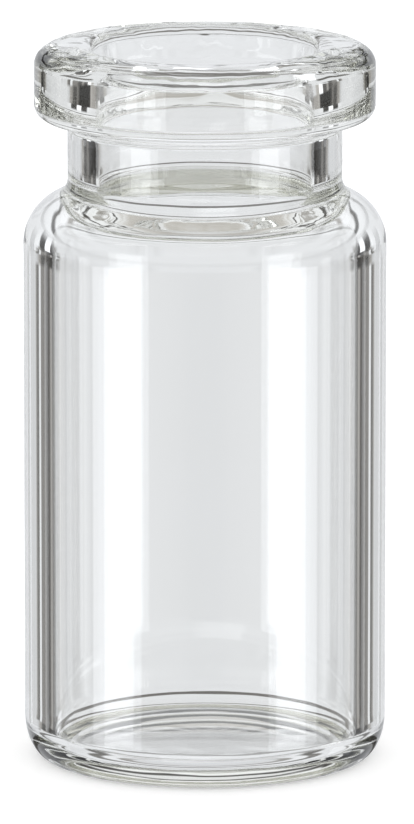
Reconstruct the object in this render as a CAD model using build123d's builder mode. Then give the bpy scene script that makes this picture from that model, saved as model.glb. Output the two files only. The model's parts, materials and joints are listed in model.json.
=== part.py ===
"""Open glass sample vial with a crimp finish, one piece of clear tubing glass.

Sizes are in millimetres. The vial stands on Z = 0 and its axis is Z.
Heights that end in "corner" are where two straight walls would meet before their
rounding. The outside is turned first and the hollow inside is cut from it.
"""
import os
from math import cos, radians, tan

from build123d import *

# Body: the straight tube
body_diameter = 21.3
body_height = 32.55          # base to the corner between the side and the shoulder
wall = 1.7
heel_width = 1.35            # rounding between the side and the base, measured inwards
heel_rise = 2.5              # and upwards

# Shoulder: a cone drawn in from the tube to the neck
shoulder_slope = 27.0        # degrees below level
shoulder_radius = 3.1        # rounding between the side and the cone
shoulder_root_radius = 1.05  # rounding between the cone and the neck
inside_slope = 16.0          # the cone inside is flatter, so the glass thickens to the neck
shoulder_wall = 1.68         # thickness of the shoulder half way along the cone inside
inside_shoulder_radius = 1.7

# Neck
neck_diameter = 16.1
neck_height = 3.75           # shoulder corner to the corner under the flange
bore_diameter = 12.8
bore_exit_radius = 0.7       # rounding where the bore opens into the body

# Flange: the rim that a seal is crimped under
flange_diameter = 20.0
flange_height = 4.05         # sealing face to the corner between the side and the underside
flange_top_width = 1.45      # rounding of the top edge, measured inwards
flange_top_drop = 1.15       # and downwards
flange_lower_radius = 0.85
flange_underside_slope = 20.0
flange_root_radius = 0.35    # rounding between the underside and the neck
lip_width = 1.1              # rounding between the sealing face and the bore, outwards
lip_drop = 0.5               # and downwards
mouth_flare = 0.12           # widening of the bore up to the lip, on the radius
mouth_depth = 1.65           # sealing face to the lower end of the flare

# Base
base_ring_width = 1.5        # the flat ring that the vial stands on
push_up = 0.32               # rise of the hollow under the base at the axis
floor_height = 1.07          # base plane to the edge of the inside floor
floor_rise = 0.1             # rise of the floor from its edge to the axis
floor_corner_width = 1.55    # rounding between the floor and the inside wall, inwards
floor_corner_rise = 1.05     # and upwards

# Worked out from the sizes above
body_radius = body_diameter / 2
neck_radius = neck_diameter / 2
bore_radius = bore_diameter / 2
flange_radius = flange_diameter / 2
inside_radius = body_radius - wall

shoulder_fall = tan(radians(shoulder_slope))
shoulder_corner = body_height + (body_radius - neck_radius) * shoulder_fall
flange_root_corner = shoulder_corner + neck_height
underside_rise = (flange_radius - neck_radius) * tan(radians(flange_underside_slope))
flange_corner = flange_root_corner + underside_rise
overall_height = flange_corner + flange_height

# The shoulder's thickness is set half way between the bore and the inside wall
inside_fall = tan(radians(inside_slope))
half_way = (inside_radius - bore_radius) / 2
half_way_outside = body_height + (wall + half_way) * shoulder_fall
half_way_inside = half_way_outside - shoulder_wall / cos(radians(shoulder_slope))
inside_corner = half_way_inside - half_way * inside_fall
bore_exit_corner = half_way_inside + half_way * inside_fall

# A cone turns by the same angle at each of its two ends. The rounding at each end uses
# up some of its length, so the rounding is limited by the wall that it lies on.
half_turn = radians(90 - shoulder_slope) / 2
cone_length = (body_radius - neck_radius) / cos(radians(shoulder_slope))
root_radius = min(shoulder_root_radius, 0.2 * cone_length / tan(half_turn))
outer_radius = min(shoulder_radius, 0.98 * cone_length / tan(half_turn) - root_radius)

base_ring_outer = body_radius - heel_width
base_ring_inner = base_ring_outer - base_ring_width
floor_edge_radius = inside_radius - floor_corner_width
mouth_radius = bore_radius + mouth_flare


def round_corners(sketch, corners):
    """Round each named corner of a flat outline, given as (radius, height, rounding)."""
    for across, up, rounding in corners:
        fillet(sketch.vertices().sort_by_distance((across, up))[0], rounding)


with BuildPart() as vial:
    # Outside, filled in to the axis
    with BuildSketch(Plane.XZ) as outside:
        with BuildLine():
            TangentArc((0, push_up), (base_ring_inner, 0), tangent=(1, 0))
            Line((base_ring_inner, 0), (base_ring_outer, 0))
            EllipticalCenterArc((base_ring_outer, heel_rise), heel_width, heel_rise,
                                start_angle=270, arc_size=90)
            Polyline((body_radius, heel_rise),
                     (body_radius, body_height),
                     (neck_radius, shoulder_corner),
                     (neck_radius, flange_root_corner),
                     (flange_radius, flange_corner),
                     (flange_radius, overall_height - flange_top_drop))
            EllipticalCenterArc((flange_radius - flange_top_width,
                                 overall_height - flange_top_drop),
                                flange_top_width, flange_top_drop,
                                start_angle=0, arc_size=90)
            Polyline((flange_radius - flange_top_width, overall_height),
                     (0, overall_height),
                     (0, push_up))
        make_face()
        round_corners(outside, [
            (body_radius, body_height, outer_radius),
            (neck_radius, shoulder_corner, root_radius),
            (neck_radius, flange_root_corner, flange_root_radius),
            (flange_radius, flange_corner, flange_lower_radius),
        ])
    revolve(axis=Axis.Z)

    # Inside: the domed floor, the straight wall, the cone, the bore and its flared mouth
    with BuildSketch(Plane.XZ) as inside:
        with BuildLine():
            TangentArc((0, floor_height + floor_rise), (floor_edge_radius, floor_height),
                       tangent=(1, 0))
            EllipticalCenterArc((floor_edge_radius, floor_height + floor_corner_rise),
                                floor_corner_width, floor_corner_rise,
                                start_angle=270, arc_size=90)
            Polyline((inside_radius, floor_height + floor_corner_rise),
                     (inside_radius, inside_corner),
                     (bore_radius, bore_exit_corner),
                     (bore_radius, overall_height - mouth_depth),
                     (mouth_radius, overall_height - lip_drop))
            EllipticalCenterArc((mouth_radius + lip_width, overall_height - lip_drop),
                                lip_width, lip_drop,
                                start_angle=90, arc_size=90)
            Polyline((mouth_radius + lip_width, overall_height),
                     (0, overall_height),
                     (0, floor_height + floor_rise))
        make_face()
        round_corners(inside, [
            (inside_radius, inside_corner, inside_shoulder_radius),
            (bore_radius, bore_exit_corner, bore_exit_radius),
        ])
    revolve(axis=Axis.Z, mode=Mode.SUBTRACT)

os.makedirs("parts", exist_ok=True)
vial.part.label = "vial"
export_step(vial.part, "parts/vial.step")
print(f"overall height {overall_height:.3f}, volume {vial.part.volume:.1f}")
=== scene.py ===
import json
import math

import bpy
import numpy as np
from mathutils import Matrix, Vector


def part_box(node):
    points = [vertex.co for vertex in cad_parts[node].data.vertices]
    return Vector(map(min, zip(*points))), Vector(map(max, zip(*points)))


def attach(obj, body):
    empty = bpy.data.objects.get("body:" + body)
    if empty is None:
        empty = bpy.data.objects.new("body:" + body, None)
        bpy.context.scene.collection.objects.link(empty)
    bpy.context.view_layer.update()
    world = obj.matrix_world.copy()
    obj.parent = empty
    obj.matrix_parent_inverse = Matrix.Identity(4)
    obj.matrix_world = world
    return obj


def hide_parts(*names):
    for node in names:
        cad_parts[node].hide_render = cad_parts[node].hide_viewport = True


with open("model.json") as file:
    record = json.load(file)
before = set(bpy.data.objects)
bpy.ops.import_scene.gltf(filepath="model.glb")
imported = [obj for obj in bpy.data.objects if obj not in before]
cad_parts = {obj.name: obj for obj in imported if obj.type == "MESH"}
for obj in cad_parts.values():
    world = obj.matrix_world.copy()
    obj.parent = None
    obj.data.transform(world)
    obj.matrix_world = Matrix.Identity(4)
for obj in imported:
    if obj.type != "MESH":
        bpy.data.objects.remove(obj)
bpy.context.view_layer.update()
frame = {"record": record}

MM = 0.001


# ---------------------------------------------------------------------------
# The vial: one piece of clear borosilicate tubing. The tube is cut to length, its end
# is melted and closed into a flat base, and the other end is softened and rolled into
# the shoulder, neck and crimp flange. Nothing is joined to it.
# ---------------------------------------------------------------------------
vial_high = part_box("vial")[1]
mounts = {m["name"]: m for m in frame["record"]["mounts"]}

height = vial_high.z
body_r = vial_high.x
bore_r = mounts["neck_bore"]["dims"]["r_mm"] * MM
flange_r = mounts["crimp_flange"]["dims"]["r_mm"] * MM
neck_r = 8.05 * MM
wall = 1.7 * MM
inside_r = body_r - wall

heel = (1.35 * MM, 2.5 * MM)            # across and up
ring_out = body_r - heel[0]
base_ring = 1.5 * MM
ring_in = ring_out - base_ring
push_up = 0.32 * MM
floor_corner = (1.55 * MM, 1.05 * MM)
floor_edge = (inside_r - floor_corner[0], 1.07 * MM)
floor_rise = 0.1 * MM

shoulder_corner = (body_r, 32.55 * MM)  # where the side would meet the cone
shoulder_fall = math.tan(math.radians(27))
inside_fall = math.tan(math.radians(16))
shoulder_wall = 1.68 * MM               # half way along the inside of the cone
shoulder_round = 3.1 * MM
neck_root_round = 1.05 * MM
inside_shoulder_round = 1.7 * MM
bore_exit_round = 0.7 * MM

flange_height = 4.05 * MM
underside_fall = math.tan(math.radians(20))
underside_round = 0.35 * MM
lower_edge_round = 0.85 * MM
top_edge = (1.45 * MM, 1.15 * MM)       # across and down
lip = (1.1 * MM, 0.5 * MM)
mouth_r = bore_r + 0.12 * MM
mouth_depth = 1.65 * MM
mouth_round = 0.6 * MM
groove_r = 9.5 * MM
groove_width = 0.08 * MM
groove_depth = 0.022 * MM
wave_steepness = 0.011
steps_round = 272                       # faces round the vial


def bow(centre, size, start, stop, steps):
    """Points on an ellipse: centre plus (across cos t, up sin t), t in degrees."""
    t = np.radians(np.linspace(start, stop, steps))
    return np.column_stack([centre[0] + size[0] * np.cos(t),
                            centre[1] + size[1] * np.sin(t)])


def rounded(before, corner, after, radius, steps):
    """The arc of a radius that touches both straight walls which meet at a corner.

    It starts radius / tan(half the angle between the walls) back from the corner, and
    its centre is radius / sin(half that angle) along the line that halves the angle.
    """
    before, corner, after = (np.array(p) for p in (before, corner, after))
    a = (before - corner) / np.linalg.norm(before - corner)
    b = (after - corner) / np.linalg.norm(after - corner)
    half = math.acos(np.clip(a @ b, -1, 1)) / 2
    middle = (a + b) / np.linalg.norm(a + b)
    centre = corner + middle * radius / math.sin(half)
    first = corner + a * radius / math.tan(half) - centre
    last = corner + b * radius / math.tan(half) - centre
    t0 = math.atan2(first[1], first[0])
    turn = (math.atan2(last[1], last[0]) - t0 + math.pi) % (2 * math.pi) - math.pi
    t = t0 + turn * np.linspace(0, 1, steps)
    return centre + radius * np.column_stack([np.cos(t), np.sin(t)])


def glass_outside():
    """The outline of the outside, as (radius, height), from the axis to the lip."""
    neck_corner = (neck_r, shoulder_corner[1] + (body_r - neck_r) * shoulder_fall)
    flange_low = (flange_r, height - flange_height)
    under_flange = (neck_r, flange_low[1] - (flange_r - neck_r) * underside_fall)
    u = np.linspace(0, 1, 16)
    return np.vstack([
        np.column_stack([ring_in * u, push_up * (1 - u ** 2)]),
        bow((ring_out, heel[1]), heel, 270, 360, 24),
        rounded((body_r, 0), shoulder_corner, neck_corner, shoulder_round, 26),
        rounded(shoulder_corner, neck_corner, (neck_r, height), neck_root_round, 18),
        rounded((neck_r, 0), under_flange, flange_low, underside_round, 9),
        rounded(under_flange, flange_low, (flange_r, height), lower_edge_round, 16),
        bow((flange_r - top_edge[0], height - top_edge[1]), top_edge, 0, 90, 48),
    ])


def glass_inside():
    """The outline of the hollow inside, as (radius, height), from the lip to the axis."""
    middle = (inside_r + bore_r) / 2
    middle_height = (shoulder_corner[1] + (body_r - middle) * shoulder_fall
                     - shoulder_wall * math.hypot(1, shoulder_fall))
    rise = (inside_r - bore_r) / 2 * inside_fall
    inside_corner = (inside_r, middle_height - rise)
    bore_end = (bore_r, middle_height + rise)
    mouth = (mouth_r, height - lip[1])
    mouth_end = (bore_r, height - mouth_depth)
    u = np.linspace(1, 0, 14)
    return np.vstack([
        bow((mouth_r + lip[0], mouth[1]), lip, 90, 180, 18),
        rounded(mouth, mouth_end, bore_end, mouth_round, 5),
        rounded(mouth_end, bore_end, inside_corner, bore_exit_round, 14),
        rounded(bore_end, inside_corner, (inside_r, 0), inside_shoulder_round, 20),
        bow((floor_edge[0], floor_edge[1] + floor_corner[1]), floor_corner, 0, -90, 26),
        np.column_stack([floor_edge[0] * u, floor_edge[1] + floor_rise * (1 - u ** 2)]),
    ])


def even_steps(section, longest):
    """The same outline with its long straight stretches cut into equal short steps."""
    gaps = np.linalg.norm(np.diff(section, axis=0), axis=1)
    cuts = np.maximum(1, np.ceil(gaps / longest).astype(int))
    where = np.repeat(np.arange(len(gaps)), cuts)
    ahead = np.concatenate([np.arange(c) / c for c in cuts])[:, None]
    points = section[where] * (1 - ahead) + section[where + 1] * ahead
    points = np.vstack([points, section[-1:]])
    apart = np.linalg.norm(np.diff(points, axis=0), axis=1) > 1e-8
    return points[np.concatenate([[True], apart])]


def eased(value, low, high):
    """0 below low, 1 above high and an even S-shaped rise between them."""
    t = np.clip((value - low) / (high - low), 0, 1)
    return t * t * (3 - 2 * t)


def groove(section, angle):
    """The fine groove round the top edge where the top wheel and the side wheel met: a
    bell-shaped dip across the outline that is deeper and shallower round the rim."""
    across = np.exp(-((section[:, 0] - groove_r) / groove_width) ** 2)
    across = across * (section[:, 1] > height - top_edge[1])
    depth = groove_depth * (1 + 0.5 * np.sin(3 * angle + 2.6) + 0.2 * np.sin(11 * angle))
    return across[:, None] * depth[None, :]


def flame_waves(section, angle):
    """The slow unevenness that the flame and the forming wheels leave in hot glass.

    It is a sum of waves, each a sine of (turns round the axis times the angle, plus the
    distance along the outline over the wave's length), and each as high as its length
    times a set steepness. The short waves, of 20 turns and more, are strong only on the
    top face. All waves are full on the rim, lower on the neck, shoulder and
    base, and absent from the drawn tube, which no tool has touched.
    """
    along = np.concatenate([[0], np.cumsum(np.linalg.norm(np.diff(section, axis=0), axis=1))])
    radius, level = section[:, 0], section[:, 1]
    rim = eased(level, height - 4.6 * MM, height - 3.4 * MM)
    top = eased(level, height - 1.4 * MM, height - 0.4 * MM)
    shoulder = eased(level, 30.5 * MM, 33.2 * MM) * (1 - eased(level, 34.5 * MM, 36.0 * MM))
    base = eased(-level, -5.0 * MM, -2.0 * MM) * eased(level, 0.1 * MM, 1.0 * MM)
    neck = eased(level, 33.5 * MM, 35.0 * MM)
    amount = 0.16 * neck + 0.3 * rim + 1.3 * top + 0.3 * shoulder + 0.35 * base
    amount = amount * eased(radius, 1.0 * MM, 4.0 * MM)

    draw = np.random.default_rng(11)
    waves = np.zeros((len(section), len(angle)))
    for turns in (2, 3, 5, 8, 11, 14, 18, 23, 29, 34, 41, 47, 53, 61):
        length = draw.uniform(0.9, 4.5) * MM
        steep = draw.uniform(0.6, 1.0) * wave_steepness
        slant = draw.choice([-1, 1])
        high = steep / math.hypot(turns / (9 * MM), 2 * math.pi / length)
        share = 1 if turns < 20 else (0.2 + 0.8 * top)[:, None]
        waves += share * high * np.sin(turns * angle[None, :] + draw.uniform(0, 2 * math.pi)
                                       + slant * 2 * math.pi * along[:, None] / length)
    return waves * amount[:, None] - groove(section, angle)


def turned(name, section, turns):
    """A closed solid of revolution: x = r cos a, y = r sin a, z = height, for the angle a
    round the axis and each (r, height) of the section, which starts and ends on the axis.
    Each point is then moved square to the outline by the height of the flame's waves."""
    a = np.linspace(0, 2 * math.pi, turns, endpoint=False)
    along = np.gradient(section, axis=0)
    square = np.column_stack([along[:, 1], -along[:, 0]])
    square /= np.linalg.norm(square, axis=1)[:, None]
    waves = flame_waves(section, a)
    r = section[:, :1] + square[:, :1] * waves
    z = section[:, 1:] + square[:, 1:] * waves
    grid = np.stack([r * np.cos(a), r * np.sin(a), z], -1)[1:-1]
    poles = [[0, 0, section[0, 1]], [0, 0, section[-1, 1]]]
    points = np.vstack([grid.reshape(-1, 3), poles])

    rings = len(section) - 2
    ring, step = np.meshgrid(np.arange(rings - 1), np.arange(turns), indexing="ij")
    nxt = (step + 1) % turns
    low, high = ring * turns, (ring + 1) * turns
    quads = np.stack([low + step, low + nxt, high + nxt, high + step], -1).reshape(-1, 4)
    s = np.arange(turns)
    last = (rings - 1) * turns
    first_pole = np.column_stack([np.full(turns, len(points) - 2), (s + 1) % turns, s])
    last_pole = np.column_stack([np.full(turns, len(points) - 1),
                                 last + s, last + (s + 1) % turns])
    faces = quads.tolist() + first_pole.tolist() + last_pole.tolist()

    mesh = bpy.data.meshes.new(name)
    mesh.from_pydata(points.tolist(), [], faces)
    mesh.polygons.foreach_set("use_smooth", np.ones(len(mesh.polygons), bool))
    mesh.validate()
    mesh.update()
    piece = bpy.data.objects.new(name, mesh)
    bpy.context.collection.objects.link(piece)
    return piece


def clear_glass():
    """Clear borosilicate glass: a slight olive cast in thick places, and faint lines down
    the wall from the drawing of the tube."""
    material = bpy.data.materials.new("clear_glass")
    material.use_nodes = True
    nodes, links = material.node_tree.nodes, material.node_tree.links
    shader = nodes["Principled BSDF"]
    shader.inputs["IOR"].default_value = 1.49
    shader.inputs["Transmission Weight"].default_value = 1.0

    place = nodes.new("ShaderNodeTexCoord").outputs["Object"]
    stretched = nodes.new("ShaderNodeMapping")
    stretched.inputs["Scale"].default_value = (900, 900, 12)
    links.new(place, stretched.inputs["Vector"])
    draw_lines = nodes.new("ShaderNodeTexNoise")
    draw_lines.inputs["Scale"].default_value = 1.0
    draw_lines.inputs["Detail"].default_value = 3.0
    links.new(stretched.outputs[0], draw_lines.inputs["Vector"])
    bump = nodes.new("ShaderNodeBump")
    bump.inputs["Strength"].default_value = 0.35
    bump.inputs["Distance"].default_value = 0.004 * MM
    links.new(draw_lines.outputs["Fac"], bump.inputs["Height"])
    links.new(bump.outputs["Normal"], shader.inputs["Normal"])

    cloud = nodes.new("ShaderNodeTexNoise")
    cloud.inputs["Scale"].default_value = 160.0
    cloud.inputs["Detail"].default_value = 4.0
    links.new(place, cloud.inputs["Vector"])
    haze = nodes.new("ShaderNodeMapRange")
    haze.inputs["From Min"].default_value = 0.45
    haze.inputs["From Max"].default_value = 0.8
    haze.inputs["To Min"].default_value = 0.0
    haze.inputs["To Max"].default_value = 0.02
    links.new(cloud.outputs["Fac"], haze.inputs["Value"])
    links.new(haze.outputs["Result"], shader.inputs["Roughness"])
    tint = nodes.new("ShaderNodeMix")
    tint.data_type = "RGBA"
    tint.inputs["A"].default_value = (1.0, 1.0, 1.0, 1)
    tint.inputs["B"].default_value = (0.99, 0.992, 0.985, 1)
    links.new(cloud.outputs["Fac"], tint.inputs["Factor"])
    links.new(tint.outputs["Result"], shader.inputs["Base Color"])

    absorption = nodes.new("ShaderNodeVolumeAbsorption")
    absorption.inputs["Color"].default_value = (0.80, 0.805, 0.72, 1)
    absorption.inputs["Density"].default_value = 28.0
    links.new(absorption.outputs["Volume"], nodes["Material Output"].inputs["Volume"])
    return material


outline = np.vstack([even_steps(glass_outside(), 0.55 * MM), glass_inside()])
vial = turned("vial_glass", even_steps(outline, 0.8 * MM), steps_round)
vial.data.materials.append(clear_glass())
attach(vial, "root")
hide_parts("vial")


# ---------------------------------------------------------------------------
# The table: a plain white sheet. It is white to the eye, with the soft shadow that the
# vial leaves, and the glass looks past it to the cards of the studio.
# ---------------------------------------------------------------------------
def white_table():
    """A matt white sheet: a third of its white glows and the rest is the light on it."""
    material = bpy.data.materials.new("white_table")
    material.use_nodes = True
    shader = material.node_tree.nodes["Principled BSDF"]
    shader.inputs["Base Color"].default_value = (0.9, 0.9, 0.9, 1)
    shader.inputs["Roughness"].default_value = 0.9
    shader.inputs["Specular IOR Level"].default_value = 0.0
    shader.inputs["Emission Color"].default_value = (1, 1, 1, 1)
    shader.inputs["Emission Strength"].default_value = 0.35
    return material


table_size = 40.0
mesh = bpy.data.meshes.new("table")
corners = ((-1, -1), (1, -1), (1, 1), (-1, 1))
mesh.from_pydata([(x * table_size, y * table_size, 0) for x, y in corners], [], [(0, 1, 2, 3)])
table = bpy.data.objects.new("table", mesh)
bpy.context.collection.objects.link(table)
table.data.materials.append(white_table())
table.visible_transmission = False
table.visible_glossy = False


# ---------------------------------------------------------------------------
# The studio: white card all round the table in rows at different heights, with upright
# black flags that draw the edges of the glass, strip lights between them, and a black
# rail. To the eye it is plain white; only the glass looks at the cards.
# ---------------------------------------------------------------------------
brightest = 4.0
cool, warm = (0.963, 0.982, 1.015), (1.0, 0.97, 0.93)   # white card, and the dark cards
card_is_white = 0.6

# Degrees to either side of straight behind the vial, and how bright the card is there
behind = [(0, .86), (8, .86), (9.5, .82), (11, .95), (13, .76), (15, .72), (16.5, .87),
          (19, .74), (21, .75), (24, .8), (25.5, .4), (27, .2), (30, .1), (31, .95),
          (33.5, .95), (34.5, .25), (41.5, .22), (43, .1), (47, .08), (48.5, .35), (50, .35),
          (51.5, .1), (55.5, .1), (57, 1.5), (60.5, 1.5), (61.5, .5), (64, .5)]
beside = [(64, .5), (66, .8), (69, .8), (77, .6), (79, .5), (85, .4), (95, .4), (103.5, .7),
          (104.5, 3.2), (109, 3.4), (109.5, 3.9), (129.5, 3.9), (130, 3.3), (133.2, 3.2),
          (134, .6), (148, .5), (164, .4), (170, .3), (180, .3)]
# The same for the row above it, which the neck and the flange look at
behind_neck = [(0, .86), (16, .84), (25, .82), (28, .7), (31, .4), (34, .28), (36, .08),
               (40, .08), (42, .22), (44, .06), (46, .02), (60, .02), (62, .5), (64, .4)]
beside_neck = [(64, .4), (70, .4), (76, .22), (90, .22), (103.5, .6), (104.5, 3.0),
               (133.2, 3.0), (134, .5), (148, .5), (180, .3)]
# Degrees from the nearest of the four sides of the room, for the cards at table level
level_with = [(0, .86), (24, .84), (30, .95), (32, .95), (33.5, .06), (41, .05), (42, 1.3),
              (45, 1.3)]
# Degrees round the room from straight behind, for two rows of cards that lie low
low_down = [(-180, .08), (-169, .08), (-167, .8), (-121, .8), (-119, 2.6), (-106, 2.6),
            (-104, .8), (-56, .85), (76, .85), (78, .06), (102, .06), (104, .85), (167, .85),
            (169, .08), (180, .08)]
lowest = [(-180, 2.6), (-152, 2.6), (-150, .8), (-103, .8), (-101, .06), (-79, .06), (-77, .85),
          (60, .85), (62, 2.6), (86, 2.6), (88, .8), (168, .8), (180, 2.6)]
# Degrees round the room, for the thin black rail behind the table
rail = [(-180, .85), (-62, .85), (-58, .15), (58, .15), (62, .85), (180, .85)]
# Degrees above level, for what lies over and under the ring of cards
over_behind = [(-90, .75), (-62, .7), (-60, .3), (-56, .3), (-54, .9), (-48, .9), (-46, .2),
               (-40, .2), (-38, .85), (4, .8), (9, .95), (12, .95), (13, .08), (15, .08),
               (16.5, 1.05), (24, 1.05), (26, .4), (28, .4), (30, 1.0), (37, 1.0), (39, .1),
               (42, .1), (44, 1.0), (60, .6), (90, .4)]
over_front = [(-90, .75), (-60, .8), (-46, .8), (-44, 0), (-40, 0), (-38.5, .85), (-18, .7),
              (0, .75), (7, .75), (9, .1), (12, .1), (14, 1.0), (24, 1.0), (32, .9), (40, .6),
              (50, .5), (60, .5), (70, .8), (90, .9)]


def studio():
    """The plain white that the eye sees, and the cards that the glass sees instead."""
    world = bpy.data.worlds.new("studio")
    bpy.context.scene.world = world
    world.use_nodes = True
    nodes, links = world.node_tree.nodes, world.node_tree.links
    nodes.clear()

    def sum_of(operation, *values):
        node = nodes.new("ShaderNodeMath")
        node.operation = operation
        for socket, value in zip(node.inputs, values):
            if isinstance(value, (int, float)):
                socket.default_value = value
            else:
                links.new(value, socket)
        return node.outputs[0]

    def cards(degrees, stops):
        """The colour of a row of cards, read off straight lines between the stops."""
        first, last = stops[0][0], stops[-1][0]
        ramp = nodes.new("ShaderNodeValToRGB")
        elements = ramp.color_ramp.elements
        elements.remove(elements[-1])
        for i, (place, level) in enumerate(stops):
            at = (place - first) / (last - first)
            element = elements[0] if i == 0 else elements.new(at)
            element.position = at
            cast = cool if level > card_is_white else warm
            element.color = (*(level / brightest * c for c in cast), 1)
        links.new(sum_of("DIVIDE", sum_of("SUBTRACT", degrees, first), last - first), ramp.inputs[0])
        return ramp.outputs["Color"]

    def between(value, low, high, below, above):
        """The colour below where the value is under low, above where it is over high."""
        share = nodes.new("ShaderNodeMapRange")
        share.inputs["From Min"].default_value = low
        share.inputs["From Max"].default_value = high
        links.new(value, share.inputs["Value"])
        mix = nodes.new("ShaderNodeMix")
        mix.data_type = "RGBA"
        links.new(share.outputs["Result"], mix.inputs["Factor"])
        links.new(below, mix.inputs["A"])
        links.new(above, mix.inputs["B"])
        return mix.outputs["Result"]

    split = nodes.new("ShaderNodeSeparateXYZ")
    links.new(nodes.new("ShaderNodeTexCoord").outputs["Generated"], split.inputs[0])
    round_room = sum_of("DEGREES", sum_of("ARCTAN2", split.outputs["X"], split.outputs["Y"]))
    off_back = sum_of("ABSOLUTE", round_room)
    off_side = sum_of("PINGPONG", round_room, 45.0)
    above = sum_of("DEGREES", sum_of("ARCSINE", split.outputs["Z"]))

    body_row = between(off_back, 63.9, 64.1,
                       cards(off_back, behind), cards(off_back, beside))
    neck_row = between(off_back, 63.9, 64.1,
                       cards(off_back, behind_neck), cards(off_back, beside_neck))
    table_row = cards(off_side, level_with)
    low_row = between(above, -20.4, -19.8,
                      cards(round_room, lowest), cards(round_room, low_down))
    over = between(off_back, 60, 120, cards(above, over_behind), cards(above, over_front))

    # The rows from the bottom up. Each pair is where one row gives way to the next, in
    # degrees above level.
    seen = between(above, -32, -27.5, over, low_row)
    seen = between(above, -21.8, -21.3, seen, cards(round_room, rail))
    seen = between(above, -18.6, -18.2, seen, low_row)
    seen = between(above, -14.2, -13.6, seen, body_row)
    seen = between(above, -10.3, -9.8, seen, neck_row)
    seen = between(above, -7.6, -6.6, seen, table_row)
    seen = between(above, 2, 8, seen, over)

    surround = nodes.new("ShaderNodeBackground")
    links.new(seen, surround.inputs["Color"])
    surround.inputs["Strength"].default_value = brightest
    plain = nodes.new("ShaderNodeBackground")
    plain.inputs["Color"].default_value = (1, 1, 1, 1)
    plain.inputs["Strength"].default_value = 1.0
    light_path = nodes.new("ShaderNodeLightPath")
    in_glass = sum_of("MAXIMUM", light_path.outputs["Is Glossy Ray"],
                      light_path.outputs["Is Transmission Ray"])
    not_camera = sum_of("SUBTRACT", 1.0, light_path.outputs["Is Camera Ray"])
    through = sum_of("MULTIPLY", in_glass, not_camera)
    mix = nodes.new("ShaderNodeMixShader")
    links.new(through, mix.inputs[0])
    links.new(plain.outputs[0], mix.inputs[1])
    links.new(surround.outputs[0], mix.inputs[2])
    out = nodes.new("ShaderNodeOutputWorld")
    links.new(mix.outputs[0], out.inputs["Surface"])


studio()
bpy.context.scene.view_settings.view_transform = "Standard"
bpy.context.scene.cycles.max_bounces = 24
bpy.context.scene.cycles.transmission_bounces = 24
bpy.context.scene.cycles.glossy_bounces = 16


# ---------------------------------------------------------------------------
# The camera: a long lens half a metre away and a little above the vial, so that the
# mouth shows as a narrow ellipse and the sides stay nearly upright.
# ---------------------------------------------------------------------------
distance = 559.5 * MM
tilt = math.radians(11.13)
frame_height = 36.0
focal_length = 9511 / 824               # in frame heights
aim = Vector((0.12 * MM, 0, height / 2 - 0.7 * MM))
camera = bpy.data.objects.new("camera", bpy.data.cameras.new("camera"))
bpy.context.collection.objects.link(camera)
from_vial = distance * Vector((0, -math.cos(tilt), math.sin(tilt)))
camera.location = Vector((0, 0, height / 2)) + from_vial
camera.rotation_mode = "QUATERNION"
camera.rotation_quaternion = (aim - camera.location).to_track_quat("-Z", "Y")
camera.data.sensor_width = frame_height
camera.data.lens = focal_length * frame_height
camera.data.clip_start = 0.01
camera.data.clip_end = 200.0
bpy.context.scene.camera = camera
